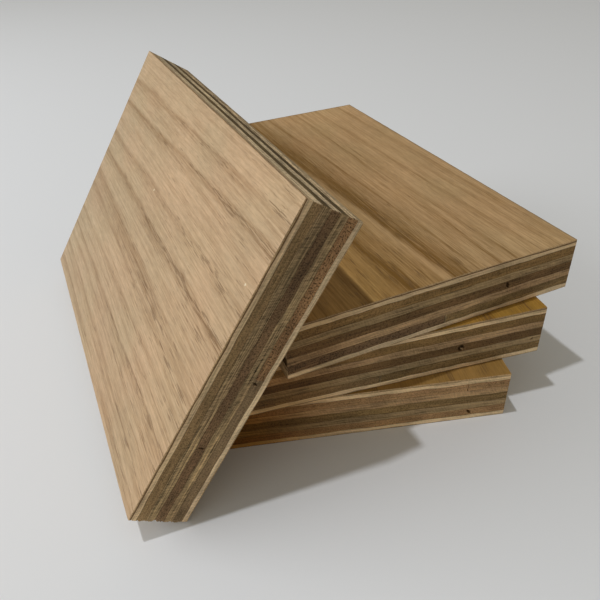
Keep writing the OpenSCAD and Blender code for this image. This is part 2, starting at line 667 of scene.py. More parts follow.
    def void_depth(self, void: EndVoid, x: np.ndarray, z: np.ndarray) -> tuple[np.ndarray, np.ndarray]:
        """Depth of a void behind the near end: an eye between two arcs, with steep walls.

        Args:
            void: The void.
            x: Places across the sheet.
            z: Heights in the sheet.

        Returns:
            Depths in mm, 0 outside the eye, and 1 where a pale chip is left in it.
        """
        width, height = void.width_share * self.thickness, void.height_share * self.thickness
        radius = (width * width + height * height) / (4 * width)
        slant = math.radians(void.slant)
        dx = x - void.place * self.layup.width
        dz = z - self.bottom - self.thickness / 2 - void.rise
        u = dx * math.cos(slant) - dz * math.sin(slant)
        v = dx * math.sin(slant) + dz * math.cos(slant)
        lumps = LatticeNoise(self.seed + 5)(x * self.WOBBLE_PER_MM, z * self.WOBBLE_PER_MM)
        wobble = self.VOID_WOBBLE * lumps
        inside = radius - np.hypot(np.abs(u) + radius - width / 2, v) + wobble * (np.abs(dx) < width)
        depth = np.clip(inside / self.VOID_WALL, 0, 1) * void.depth
        if not void.chip:
            return depth, np.zeros_like(depth)
        across, up, reach = void.chip
        chip = np.clip((reach - np.hypot(dx - across, dz - up)) / self.CHIP_RIM, 0, 1)
        return np.minimum(depth, self.CHIP_DEPTH + (1 - chip) * void.depth), chip

    def torn(self, points: np.ndarray) -> tuple[np.ndarray, np.ndarray]:
        """Shift of the foot where its near end is torn: stepped and toothed, fading away from it.

        Args:
            points: (n, 3) places.

        Returns:
            (n,) shifts up the sheet, which fade over a few millimetres along and up it, and
            (n,) shares of fresh torn wood.
        """
        noise = LatticeNoise(self.TORN_SEED)
        x, y, z = points.T
        wide, narrow = noise(z * 1.5, 0.3 + 0 * z), noise(z * 3.7, 9.3 + y * 0.4)
        teeth = np.abs(wide) + self.NARROW_SHARE * np.abs(narrow)
        notch = np.exp(-(((z - self.NOTCH) / self.NOTCH_HALF) ** 2))
        fade = np.exp(-y / self.TORN_FADE_ALONG) * np.exp(-np.abs(x - self.left) / self.TORN_FADE_UP)
        return self.tear * (self.NOTCH_SHARE * notch + self.TEETH_SHARE * teeth) * fade, fade

    def waved(self, x: np.ndarray, y: np.ndarray, share: np.ndarray) -> np.ndarray:
        """Rise of the ply's rim: low noise for each glue line, blended over the thickness.

        Args:
            x: Places across the sheet.
            y: Places along it.
            share: Shares of the thickness.

        Returns:
            Rises in mm. Two plies that meet share the same noise, so they stay closed.
        """
        u, v = x * self.WAVES_PER_MM, y * self.WAVES_PER_MM
        low, high = (self.wave * LatticeNoise(seed)(u, v) if seed else 0.0 * x for seed in self.waves)
        return low * (1 - share) + high * share

    def surface(self) -> Surface:
        """The strip's closed surface.

        A point of the rim is outline(i) + normal(i) * (relief - arris * inset(j)) at height
        share(j), where the relief is low lattice noise less the void's depth. Each flat face
        runs from the rim to the middle line of the rectangle, so it closes with no gap.

        Returns:
            The surface, with what the woods read at each of its points.
        """
        path, normal = self.outline()
        share, inset, on_face = self.profile()
        n, rows = len(path), len(share)
        grid = (rows, n)
        x, y = np.broadcast_to(path[:, 0], grid), np.broadcast_to(path[:, 1], grid)
        z = self.bottom + share[:, None] * self.thickness + self.waved(x, y, share[:, None])
        noise = LatticeNoise(self.seed)
        run = np.broadcast_to(np.cumsum(np.hypot(*np.diff(path, axis=0, prepend=path[:1]).T)), grid)
        ease = self.arris * (1 + self.WEAR * noise(run * self.WEAR_PER_MM, 3.0 + 0 * z))
        sawn = noise(run * self.RELIEF_ROUND, z * self.RELIEF_UP)
        out = self.relief * (sawn - 1) - inset[:, None] * ease
        fresh = np.zeros(grid)
        for void in self.voids:
            depth, chip = self.void_depth(void, x, z)
            out = out - np.where(y < self.corner, depth, 0)
            fresh = np.maximum(fresh, np.where(y < self.corner, chip, 0))
        rim = np.stack([x + normal[:, 0] * out, y + normal[:, 1] * out, z], 2).reshape(-1, 3)
        half = min(self.right - self.left, self.layup.length) / 2
        centre = (self.left + self.right) / 2
        line = np.round(np.clip(path[:, 1], half, self.layup.length - half), 4)
        spots, spot_of = np.unique(line, return_inverse=True)
        caps = [
            np.stack(np.broadcast_arrays(centre, spots, height), 1)
            for height in (self.bottom, self.bottom + self.thickness)
        ]
        points = np.concatenate([rim, *caps])
        grain = np.concatenate([np.stack([x, y, z], 2).reshape(-1, 3), *caps])

        def spread(values: np.ndarray, cap: float) -> np.ndarray:
            """Values of the rim's points, then one value for the points of both caps."""
            return np.concatenate([np.broadcast_to(values, grid).ravel(), np.full(2 * len(spots), cap)])

        fresh = spread(fresh, 0.0)
        if self.ragged:
            shift, bare = self.torn(points)
            points[:, 0] += shift
            fresh = np.maximum(fresh, self.TORN_FRESH * bare)

        here = np.arange(n)
        after = (here + 1) % n
        row = np.arange(rows - 1)[:, None] * n
        walls = np.stack([row + here, row + after, row + n + after, row + n + here], 2).reshape(-1, 4)
        top, low = (rows - 1) * n, rows * n
        high = low + len(spots)
        lids = np.concatenate([
            np.stack([top + here, top + after, high + spot_of[after], high + spot_of[here]], 1),
            np.stack([after, here, low + spot_of[here], low + spot_of[after]], 1),
        ])
        pointed = lids[:, 2] == lids[:, 3]
        return Surface(
            points=points,
            grain=grain,
            at_end=spread(np.abs(normal[:, 1])[None, :], 0.0),
            on_face=spread(on_face[:, None], 1.0 if self.eased else 0.0),
            level=np.append(np.broadcast_to(share[:, None], grid), np.repeat([0.0, 1.0], len(spots))),
            strip=np.full(len(points), float(self.number)),
            fresh=fresh,
            quads=np.concatenate([walls, lids[~pointed]]),
            triangles=lids[pointed][:, :3],
        )


class Graph:
    """A node tree with short ways to add the nodes that the woods use."""

    def __init__(self, tree: bpy.types.NodeTree) -> None:
        """Keeps the tree that nodes are added to."""
        self.tree = tree

    def add(self, kind: str, feeds: Union[dict, None] = None, **settings: object) -> bpy.types.Node:
        """Adds a node.

        Args:
            kind: Blender's name of the node type, without its ShaderNode prefix.
            feeds: Input name or number to a socket that is linked or a value that is set.
            **settings: Attributes of the node.

        Returns:
            The new node.
        """
        node = self.tree.nodes.new("ShaderNode" + kind)
        for name, value in settings.items():
            setattr(node, name, value)
        for name, feed in (feeds or {}).items():
            self.feed(node.inputs[name], feed)
        return node

    def feed(self, socket: Socket, feed: Feed) -> None:
        """Links a socket to the input, or sets its value.

        Args:
            socket: The input.
            feed: A socket to link or a value to set. A colour may leave out its alpha.
        """
        if isinstance(feed, bpy.types.NodeSocket):
            self.tree.links.new(feed, socket)
        elif isinstance(feed, tuple) and len(feed) == 3 and socket.type == "RGBA":
            socket.default_value = (*feed, 1.0)
        else:
            socket.default_value = feed

    def attribute(self, name: str, output: str = "Fac") -> Socket:
        """Reads one of the piece's own attributes."""
        return self.add("Attribute", attribute_name=name).outputs[output]

    def maths(self, operation: str, *values: Feed, clamp: bool = False) -> Socket:
        """A Math node on up to three values."""
        return self.add("Math", dict(enumerate(values)), operation=operation, use_clamp=clamp).outputs[0]

    def times(self, first: Feed, second: Feed) -> Socket:
        """The product of two values."""
        return self.maths("MULTIPLY", first, second)

    def line(self, value: Feed, slope: Feed, start: Feed, clamp: bool = False) -> Socket:
        """value * slope + start."""
        return self.maths("MULTIPLY_ADD", value, slope, start, clamp=clamp)

    def less(self, value: Feed, whole: Feed = 1.0) -> Socket:
        """What the value leaves of the whole."""
        return self.maths("SUBTRACT", whole, value)

    def swayed(self, tone: Feed, noise: Socket, share: Feed) -> Socket:
        """The tone moved up and down by a noise: tone + (noise - 1/2) * share."""
        return self.line(self.maths("SUBTRACT", noise, 0.5), share, tone)

    def vectors(self, operation: str, *values: Feed, output: str = "Vector") -> Socket:
        """A Vector Math node on up to three vectors."""
        return self.add("VectorMath", dict(enumerate(values)), operation=operation).outputs[output]

    def parts(self, vector: Feed) -> Outputs:
        """The three parts of a vector."""
        return self.add("SeparateXYZ", {0: vector}).outputs

    def joined(self, x: Feed, y: Feed, z: Feed = 0.0) -> Socket:
        """A vector from its three parts."""
        return self.add("CombineXYZ", {0: x, 1: y, 2: z}).outputs[0]

    def scaled(self, vector: Feed, scale: Feed, shift: Feed = (0.0, 0.0, 0.0)) -> Socket:
        """vector * scale + shift, each part by itself."""
        return self.vectors("MULTIPLY_ADD", vector, scale, shift)

    def noise(
        self,
        place: Socket,
        scale: Triple,
        shift: Triple = (0.0, 0.0, 0.0),
        detail: float = 2.0,
        roughness: float = 0.5,
    ) -> Socket:
        """Noise at place * scale + shift.

        Args:
            place: Where it is read, in mm.
            scale: Lumps per mm.
            shift: Shift that makes it unlike the other noises.
            detail: Number of finer layers.
            roughness: Strength of each beside the one before.

        Returns:
            Values of about 0 to 1.
        """
        lumps = self.scaled(place, scale, shift)
        feeds = {"Vector": lumps, "Scale": 1.0, "Detail": detail, "Roughness": roughness}
        return self.add("TexNoise", feeds).outputs["Fac"]

    def tinted(self, colour: Feed, tint: Feed) -> Socket:
        """The colour times another one, or times a grey shade."""
        return self.mix(1.0, colour, tint, "MULTIPLY")

    def step(self, value: Feed, low: Feed, high: Feed) -> Socket:
        """Smooth step from 0 at low to 1 at high, which may be the smaller one."""
        feeds = {"Value": value, "From Min": low, "From Max": high}
        return self.add("MapRange", feeds, interpolation_type="SMOOTHSTEP").outputs[0]

    def between(self, share: Feed, first: Feed, second: Feed) -> Socket:
        """Mix of two values."""
        return self.add("Mix", {0: share, 2: first, 3: second}, data_type="FLOAT").outputs[0]

    def mix(self, share: Feed, first: Feed, second: Feed, blend: str = "MIX") -> Socket:
        """Mix of two colours."""
        feeds = {0: share, 6: first, 7: second}
        return self.add("Mix", feeds, data_type="RGBA", blend_type=blend).outputs[2]

    def curve(self, value: Feed, points: Sequence[tuple[float, float]]) -> Socket:
        """A value through straight lines between points.

        Args:
            value: A value from 0 to 1.
            points: (value, result) of each point, all of them from 0 to 1.

        Returns:
            The result.
        """
        node = self.add("FloatCurve", {"Value": value})
        line = node.mapping.curves[0]
        for x, y in points[1:-1]:
            line.points.new(x, y)
        for point, place in zip((line.points[0], line.points[-1]), (points[0], points[-1])):
            point.location = place
        for point in line.points:
            point.handle_type = "VECTOR"
        node.mapping.update()
        return node.outputs[0]


class SharedGroup:
    """A shader node group with named inputs and outputs, made once and used by many woods."""

    KINDS = {"vector": "NodeSocketVector", "value": "NodeSocketFloat", "colour": "NodeSocketColor"}
    OUTPUTS = {"Color": "colour", "Roughness": "value", "Height": "value"}
    made: dict[str, bpy.types.NodeTree] = {}

    def __init__(self, name: str, inputs: dict[str, str]) -> None:
        """Makes the group's tree and its sockets.

        Args:
            name: Name of the group.
            inputs: Input name to vector, value or colour.
        """
        self.tree = bpy.data.node_groups.new(name, "ShaderNodeTree")
        for way, sockets in (("INPUT", inputs), ("OUTPUT", self.OUTPUTS)):
            for socket, kind in sockets.items():
                self.tree.interface.new_socket(socket, in_out=way, socket_type=self.KINDS[kind])
        self.graph = Graph(self.tree)
        self.inputs = self.tree.nodes.new("NodeGroupInput").outputs
        self.outputs = self.tree.nodes.new("NodeGroupOutput").inputs
        SharedGroup.made[name] = self.tree

    def put_out(self, colour: Socket, rough: Socket, height: Socket) -> None:
        """Links the group's three outputs."""
        for name, feed in zip(self.OUTPUTS, (colour, rough, height)):
            self.graph.feed(self.outputs[name], feed)

    @staticmethod
    def placed(graph: Graph, name: str, feeds: dict[str, Feed]) -> Outputs:
        """Places a group that is already made in a material, with its own values.

        Args:
            graph: The material's graph.
            name: Name of the group.
            feeds: Input name to a socket or a value.

        Returns:
            The outputs of the placed group.
        """
        return graph.add("Group", feeds, node_tree=SharedGroup.made[name]).outputs


def make_ply_wood() -> None:
    """The solid texture of a peeled ply: fibres along Y, growth lines along the ply, open pores.

    The tone is 1 and the sum of each noise about its middle times its share. A stain, the
    pores and the glue at the ply's two sides darken it. Stains and saw marks run on through
    the whole sheet, so they read its own place.
    """
    group = SharedGroup("ply_wood", {
        "Place": "vector", "Sheet Place": "vector", "Sheet Seed": "value", "Fibre End": "value",
        "End": "colour", "Along": "colour", "Speckle": "value", "Streak": "value", "Sawn": "value",
        "Seed": "value", "Level": "value", "Fresh": "value", "Stain At": "vector", "Stain Depth": "value",
    })
    g, given = group.graph, group.inputs
    place = g.vectors("ADD", given["Place"], given["Seed"])
    sheet = g.vectors("ADD", given["Sheet Place"], given["Sheet Seed"])
    fibre = g.noise(place, (2.6, 0.07, 2.6), detail=3.0, roughness=0.7)
    pores = g.noise(place, (2.1, 0.14, 2.1), (31.0, 7.0, 3.0), detail=1.0)
    lines = g.noise(place, (0.05, 0.03, 3.0), (5.0, 19.0, 11.0), detail=3.0, roughness=0.65)
    patch = g.noise(place, (0.12, 0.035, 0.3), (13.0, 2.0, 29.0))
    hue = g.noise(place, (0.25, 0.07, 0.5), (3.0, 23.0, 41.0), roughness=0.6)
    cloud = g.noise(sheet, (0.055, 0.02, 0.2), detail=3.0, roughness=0.55)
    # Saw marks lean a little as they cross the edge.
    run = g.vectors("DOT_PRODUCT", sheet, (2.0, 2.0, 0.9), output="Value")
    saw = g.noise(g.joined(run, g.parts(sheet)[2]), (1.0, 0.45, 0.0), roughness=0.6)

    base = g.mix(given["Fibre End"], given["Along"], given["End"])
    base = g.tinted(base, g.mix(g.step(hue, 0.3, 0.7), (1.008, 0.99, 1.0), (0.992, 1.006, 0.985)))
    shares = (
        (lines, g.times(given["Streak"], 4.0)),
        (saw, g.times(g.less(given["Fibre End"], 1.5), given["Sawn"])),
        (fibre, g.maths("ADD", given["Sawn"], 0.5)),
        (patch, 0.7),
        (cloud, 1.1),
    )
    tone: Feed = 1.0
    for noise, share in shares:
        tone = g.swayed(tone, noise, share)
    away = g.scaled(g.vectors("SUBTRACT", given["Sheet Place"], given["Stain At"]), (0.06, 0.02, 0.28))
    away = g.swayed(g.vectors("LENGTH", away, output="Value"), lines, 0.8)
    stain = g.times(g.step(away, 1.2, 0.3), given["Stain Depth"])
    open_pore = g.times(g.step(pores, 0.52, 0.63), given["Speckle"])
    # Glue darkens a narrow and uneven line at the ply's underside and at its upper side.
    reach = g.line(g.step(patch, 0.4, 0.65), 0.12, 0.01)
    edge = g.times(g.step(given["Level"], 0.0, reach), g.step(g.less(given["Level"]), 0.0, reach))
    shade = g.times(g.times(tone, g.less(stain)), g.less(open_pore))
    shade = g.times(shade, g.line(edge, 0.4, 0.6))
    bare = g.times(given["Fresh"], g.step(fibre, 0.35, 0.6))
    height = g.maths("SUBTRACT", g.line(edge, 0.5, fibre), open_pore)
    colour = g.mix(bare, g.tinted(base, shade), FRESH)
    group.put_out(colour, g.line(fibre, 0.2, 0.66), g.line(saw, 0.6, height))


def make_oak_figure() -> None:
    """The figure of an oak face from its rings' darkness: fibres, short dark pores and slow tones.

    The wood runs from light to dark by the band and the noises about their middles. Pores are
    short dashes where a fine noise lies below a limit, which is higher in the dark bands.
    """
    group = SharedGroup("oak_figure", {
        "Place": "vector", "Band": "value", "Pores": "value", "Light": "colour", "Dark": "colour",
        "Pore": "colour", "Seed": "value",
    })
    g, given = group.graph, group.inputs
    place = g.vectors("ADD", given["Place"], given["Seed"])
    fibre = g.noise(place, (1.5, 0.035, 0.0), detail=4.0, roughness=0.75)
    lines = g.noise(place, (0.45, 0.009, 0.0), (9.0, 4.0, 0.0), roughness=0.6)
    patch = g.noise(place, (0.06, 0.022, 0.0), (21.0, 8.0, 0.0))
    hue = g.noise(place, (0.045, 0.03, 0.0), (2.0, 31.0, 0.0), detail=1.0)
    fine = g.noise(place, (3.0, 0.14, 0.0), (3.0, 17.0, 0.0))
    short = g.noise(place, (1.0, 0.17, 0.0), (11.0, 5.0, 0.0), detail=3.0, roughness=0.7)
    groups = g.noise(place, (0.4, 0.025, 0.0), (1.0, 27.0, 0.0), detail=1.0, roughness=0.4)

    density = g.times(g.maths("ADD", given["Band"], 0.2, clamp=True), g.step(groups, 0.3, 0.56))
    density = g.times(density, given["Pores"])
    sharp = g.line(given["Pores"], 0.5, 0.5, clamp=True)
    dark = g.line(given["Band"], 0.95, 0.17)
    for noise, strength, share in ((lines, sharp, 0.8), (fibre, sharp, 2.4), (fine, density, -1.4)):
        dark = g.swayed(dark, noise, g.times(strength, share))
    wood = g.mix(g.maths("ADD", dark, 0.0, clamp=True), given["Light"], given["Dark"])
    wood = g.tinted(wood, g.mix(g.step(hue, 0.3, 0.7), (1.02, 0.995, 0.985), (0.98, 1.0, 0.985)))
    wood = g.tinted(wood, g.swayed(g.swayed(1.0, patch, 0.25), short, 0.55))
    limit = g.line(density, 0.36, 0.27)
    dash = g.step(fine, limit, g.maths("SUBTRACT", limit, 0.06))
    height = g.maths("SUBTRACT", g.times(fibre, 0.5), dash)
    group.put_out(g.mix(g.times(dash, 0.5), wood, given["Pore"]), g.line(fibre, 0.18, 0.48), height)


def principled(name: str, gloss: float) -> tuple[bpy.types.Material, Graph, bpy.types.Node]:
    """A new material with a Principled shader.

    Args:
        name: Name of the material.
        gloss: Specular level of the shader.

    Returns:
        The material, its graph and the shader node.
    """
    material = bpy.data.materials.new(name)
    material.use_nodes = True
    material.node_tree.nodes.clear()
    graph = Graph(material.node_tree)
    shader = graph.add("BsdfPrincipled", {"Specular IOR Level": gloss})
    graph.add("OutputMaterial", {"Surface": shader.outputs[0]})
    return material, graph, shader


@dataclass(frozen=True)
class PlyFinish:
    """Finish of a ply's sawn edges, and of its oak face where it has one.

    Attributes:
        name: Name of the material.
        layup: The sheet's sizes, which the figure's bands are placed on.
        grain: Direction of the fibres.
        woods: The wood of each strip.
        seed: Shift of the texture.
        design: What makes the sheet unlike the others.
        figure: The oak figure of a veneer's flat face.
        face_up: Whether that face is the upper one.
        sheet_seed: Shift of the clouds that run through the sheet.
        fade: Tone of the edges from the sheet's left or foot to its other side: wood tone and painted light
            and shade.
        sawn: Strength of the saw marks.
    """

    name: str
    layup: Layup
    grain: Grain
    woods: tuple[Wood, ...]
    seed: float
    design: SheetDesign
    figure: Union[Figure, None] = None
    face_up: bool = True
    sheet_seed: float = 0.0
    fade: tuple[float, float] = (1.0, 1.0)
    sawn: float = 1.0

    # Specular levels of an oak veneer and of the other plies.
    FACE_GLOSS, EDGE_GLOSS = 0.25, 0.12
    # Strength of the fine relief, and its height in metres.
    BUMP, BUMP_HEIGHT = 0.55, 0.00012
    # Depths behind the near end, in mm, between which the painted shade beside the leaning sheet grows.
    PAINTED_SHADE_DEPTH = (45.0, 15.0)
    # The most that a band may drift, in mm.
    MOST_DRIFT = 10.0
    # Distances from a face's edge, in mm, between which its dark rim grows.
    RIM = (0.8, 0.1)

    def material(self) -> bpy.types.Material:
        """The finish as a procedural material.

        Returns:
            The new material.
        """
        material, g, shader = principled(self.name, self.FACE_GLOSS if self.figure else self.EDGE_GLOSS)
        place = g.attribute("sheet_mm", "Vector")
        edge = self.edge(g, place)
        colour, rough, height = self.faded(g, edge["Color"], place), edge["Roughness"], edge["Height"]
        if self.figure:
            oak, on_face = self.oak(g, place), g.attribute("on_face")
            if self.face_up:
                colour = self.with_dark_line(g, colour, place)
            colour = self.flecked(g, g.mix(on_face, colour, oak["Color"]), place)
            rough = g.between(on_face, rough, oak["Roughness"])
            height = g.between(on_face, height, oak["Height"])
        bump = g.add("Bump", {"Strength": self.BUMP, "Distance": self.BUMP_HEIGHT, "Height": height})
        for socket, feed in (("Base Color", colour), ("Roughness", rough), ("Normal", bump.outputs[0])):
            g.feed(shader.inputs[socket], feed)
        return material

    def edge(self, g: Graph, place: Socket) -> Outputs:
        """The sawn edge: the ply's wood, turned to its grain, and changing from strip to strip.

        Args:
            g: The material's graph.
            place: Place in the sheet, in millimetres.

        Returns:
            The outputs of the ply wood group.
        """
        at_end, turned = g.attribute("at_end"), place
        if self.grain is Grain.ACROSS:
            x, y, z = g.parts(place)
            at_end, turned = g.less(at_end), g.joined(y, x, z)
        first, stain = self.woods[0], self.design.stain
        end, along, speckle = first.end, first.along, first.speckle
        if len(self.woods) > 1:
            second, strip = self.woods[1], g.attribute("strip")
            end, along = g.mix(strip, end, second.end), g.mix(strip, along, second.along)
            speckle = g.line(strip, second.speckle - first.speckle, first.speckle)
        return SharedGroup.placed(g, "ply_wood", {
            "Place": turned, "Fibre End": at_end, "End": end, "Along": along, "Speckle": speckle,
            "Streak": first.streak, "Sawn": self.sawn, "Seed": self.seed, "Level": g.attribute("level"),
            "Fresh": g.attribute("fresh"), "Sheet Place": place, "Sheet Seed": self.sheet_seed,
            "Stain At": (stain.across, 0.0, stain.up), "Stain Depth": stain.depth,
        })

    def faded(self, g: Graph, colour: Socket, place: Socket) -> Socket:
        """The edge's colour with its fade across the sheet, partly painted light and shade, and more
        painted shade beside the leaning sheet.

        Args:
            g: The material's graph.
            colour: Colour of the sawn edge.
            place: Place in the sheet, in millimetres.

        Returns:
            The new colour.
        """
        across, behind, _ = g.parts(place)
        # Fade across the sheet: partly the wood's own tone, partly painted light and shade.
        left, right = self.fade
        colour = g.tinted(colour, g.line(across, (right - left) / self.layup.width, left))
        reach, strength = self.design.painted_shade
        # Painted shade: darker and redder at the left of the near end, beside the leaning sheet.
        if strength:
            share = g.times(g.step(across, reach, reach * 0.25), g.step(behind, *self.PAINTED_SHADE_DEPTH))
            colour = g.tinted(colour, g.mix(g.times(share, strength), WHITE, PAINTED_SHADE))
        return colour

    def with_dark_line(self, g: Graph, colour: Socket, place: Socket) -> Socket:
        """The edge's colour with an uneven dark line in the lower half of the face veneer."""
        level = g.swayed(g.attribute("level"), g.noise(place, (0.7, 0.7, 0.0)), 0.35)
        return g.mix(g.times(g.step(level, 0.52, 0.38), self.design.dark_line), colour, DARK_LINE)

    def oak(self, g: Graph, place: Socket) -> Outputs:
        """The oak face: bands on a line across the sheet that drifts and wavers along it.

        Args:
            g: The material's graph.
            place: Place in the sheet, in millimetres.

        Returns:
            The outputs of the oak figure group.
        """
        figure, width, length = self.figure, self.layup.width, self.layup.length
        x, y, _ = g.parts(place)
        across, near = g.less(x, width), g.less(g.maths("DIVIDE", y, length))
        most = self.MOST_DRIFT
        shifts = [(place_mm / width, (shift + most) / (2 * most)) for place_mm, shift in figure.drift]
        drift = g.line(g.curve(g.maths("DIVIDE", across, width), shifts), 2 * most, -most)
        moved = g.line(drift, near, across)
        moved = g.swayed(moved, g.noise(place, (0.05, 0.025, 0.0), (figure.seed, 0.0, 0.0)), 2.0)
        moved = g.swayed(moved, g.noise(place, (0.5, 0.09, 0.0), (0.0, figure.seed, 0.0)), 1.1)
        band = g.curve(g.maths("DIVIDE", moved, width, clamp=True), figure.rings(width))
        band = g.times(band, g.line(near, figure.near_bands - 1, 1.0))
        light: Feed = figure.light
        # Painted warm bounce light: the pale wood turns gold across the given span.
        if figure.painted_bounce_span:
            light = g.mix(g.step(moved, *figure.painted_bounce_span), light, PAINTED_BOUNCE_OAK)
        # Painted shade and sheen towards the far end, then the dark rim.
        tone = g.mix(near, figure.far_shade_and_sheen, WHITE)
        if figure.rim:
            for from_edge in (across, g.less(y, length)):
                tone = g.tinted(tone, g.less(g.times(g.step(from_edge, *self.RIM), figure.rim)))
        return SharedGroup.placed(g, "oak_figure", {
            "Place": place, "Band": band, "Pores": g.line(near, 1.2 * figure.pores, 0.2 * figure.pores),
            "Light": g.tinted(light, tone), "Dark": g.tinted(figure.dark, tone), "Pore": PORE,
            "Seed": figure.seed,
        })

    def flecked(self, g: Graph, colour: Socket, place: Socket) -> Socket:
        """The colour with the face's small pale flecks on it.

        Args:
            g: The material's graph.
            colour: Colour of the face.
            place: Place in the sheet, in millimetres.

        Returns:
            The new colour.
        """
        for x, y, radius in self.figure.flecks:
            reach = g.vectors("DISTANCE", place, (x, y, self.layup.thickness), output="Value")
            colour = g.mix(g.step(reach, radius, radius * 0.5), colour, FLECK)
        return colour


@dataclass(frozen=True)
class PlainFinish:
    """A finish of one colour.

    Attributes:
        name: Name of the material.
        colour: Its colour.
        roughness: Roughness of the surface.
        gloss: Specular level.
    """

    name: str
    colour: Colour
    roughness: float
    gloss: float

    def material(self) -> bpy.types.Material:
        """The finish as a material.

        Returns:
            The new material.
        """
        material, graph, shader = principled(self.name, self.gloss)
        graph.feed(shader.inputs["Base Color"], self.colour)
        graph.feed(shader.inputs["Roughness"], self.roughness)
        return material


@dataclass
class Sheet:
    """One plywood sheet: its plies as surfaces, and their finishes."""

    place: SheetPlace
    layup: Layup
    arrangement: Arrangement
    design: SheetDesign = field(init=False)

    # Steps between the seeds of the sheets, of a ply's strips and of the glue lines.
    SHEET_SEEDS, STRIP_SEEDS, GLUE_SEEDS = 100, 50, 1000
    # Shifts of the textures from ply to ply and from sheet to sheet.
    PLY_SHIFT, SHEET_SHIFT = 3.17, 57.0
    # Saw marks on a crossband beside those on the other plies.
    BAND_SAWN = 0.5
    # How far a ply may lie from its solid before a warning, in mm.
    ALLOWED_OFF = 0.7

    def __post_init__(self) -> None:
        """Looks up the sheet's own design."""
        self.design = DESIGNS[self.place]

    @property
    def number(self) -> int:
        """Number of the sheet, from the floor up."""
        return list(SheetPlace).index(self.place)

    def build(self) -> list[bpy.types.Object]:
        """Builds every ply, rides it on the frame and hides the solid that it stands for.

        Returns:
            The new objects.
        """
        pieces, bottom = [], 0.0
        for number, (name, thickness) in enumerate(self.layup.plies()):
            pieces.append(self.ply(number, name, bottom, thickness))
            bottom += thickness
        return pieces

    def layer(self, name: str) -> Layer:
        """What a ply is.

        Args:
            name: Its name in the lay-up. The odd core plies run along the sheet.

        Returns:
            Its layer.
        """
        if name.endswith("veneer"):
            return Layer.VENEER
        if name.endswith("crossband"):
            return Layer.CROSSBAND
        return Layer.CORE_ALONG if int(name[-1]) % 2 else Layer.CORE_ACROSS

    def ply(self, number: int, name: str, bottom: float, thickness: float) -> bpy.types.Object:
        """One ply of the sheet.

        Args:
            number: Its place in the lay-up, from the back.
            name: Its name in the lay-up.
            bottom: Height of its underside in the sheet.
            thickness: Its thickness.

        Returns:
            The ply's object, riding on the frame.
        """
        layup, design, layer = self.layup, self.design, self.layer(name)
        seed = self.SHEET_SEEDS * self.number + number
        core = int(name[-1]) if name.startswith("core") else 0
        joint = design.joint if design.joint.core == core else None
        ends = [(0.0, layup.width)]
        if joint:
            split = joint.place * layup.width
            ends = [(0.0, split), (split + layup.strip_gap, layup.width)]
        glue = seed + self.GLUE_SEEDS
        waves = (glue if number else 0, 0 if name == "face_veneer" else glue + 1)
        strips = []
        for index, (left, right) in enumerate(ends):
            held = (v for v in design.voids if v.core == core and left < v.place * layup.width < right)
            strips.append(PlyStrip(
                left, right, bottom, thickness, layup,
                number=index,
                seed=seed + self.STRIP_SEEDS * index,
                voids=tuple(held),
                eased={"face_veneer": 1, "back_veneer": -1}.get(name, 0),
                ragged=design.ragged_foot and index == 0,
                waves=waves,
            ).surface())
        node = f"{self.place.value}_{name}"
        piece = self.mesh(node, Surface.joined(strips))
        piece.data.materials.append(self.finish(node, name, layer, seed, core, joint).material())
        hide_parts(node)
        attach(piece, "root")
        self.check(piece, node)
        return piece

    def finish(
        self, node: str, name: str, layer: Layer, seed: int, core: int, joint: Union[StripJoint, None]
    ) -> PlyFinish:
        """The finish of a ply: its wood, its grain and a veneer's figure.

        Args:
            node: Name of the solid that the ply stands for.
            name: Its name in the lay-up.
            layer: What it is in the lay-up.
            seed: Seed of the ply.
            core: Number of the core ply, or 0.
            joint: The joint of its two strips, if it has one.

        Returns:
            The finish.
        """
        design = self.design
        figure, fade, sawn = None, design.fade, design.sawn
        if layer is Layer.VENEER:
            woods: tuple[Wood, ...] = (OAK_EDGE,)
            figure = design.face if name == "face_veneer" else BACK_FACE
        elif layer is Layer.CROSSBAND:
            woods = (PALE if name == "upper_crossband" else CREAM,)
            fade = (fade[0] * design.band_fade[0], fade[1] * design.band_fade[1])
            sawn *= self.BAND_SAWN
        else:
            woods = (design.cores[core - 1],) + ((joint.second,) if joint else ())
        return PlyFinish(
            node, self.layup,
            grain=Grain.ACROSS if layer in (Layer.CROSSBAND, Layer.CORE_ACROSS) else Grain.ALONG,
            woods=woods,
            seed=seed * self.PLY_SHIFT,
            design=design,
            figure=figure,
            face_up=name == "face_veneer",
            sheet_seed=self.number * self.SHEET_SHIFT,
            fade=fade,
            sawn=sawn,
        )

    def mesh(self, node: str, surface: Surface) -> bpy.types.Object:
        """The surface as a mesh object at the origin, with the attributes that the woods read.

        Args:
            node: Name of the solid that the piece stands for.
            surface: The ply's surface in the sheet's millimetres.

        Returns:
            The new object.
        """
        turn = np.array(self.arrangement.placement(self.place))
        placed = (surface.points @ turn[:3, :3].T + turn[:3, 3]) * MM
        mesh = bpy.data.meshes.new(node + "_dressed")
        mesh.from_pydata(placed, [], surface.quads.tolist() + surface.triangles.tolist())
        where = mesh.attributes.new("sheet_mm", "FLOAT_VECTOR", "POINT")
        where.data.foreach_set("vector", surface.grain.astype(np.float32).ravel())
        for name in MARKS:
            values = getattr(surface, name).astype(np.float32)
            mesh.attributes.new(name, "FLOAT", "POINT").data.foreach_set("value", values)
        mesh.polygons.foreach_set("use_smooth", np.ones(len(mesh.polygons), bool))
        mesh.set_sharp_from_angle(angle=SHARP)
        mesh.update()
        piece = bpy.data.objects.new(node + "_dressed", mesh)
        bpy.context.scene.collection.objects.link(piece)
        return piece

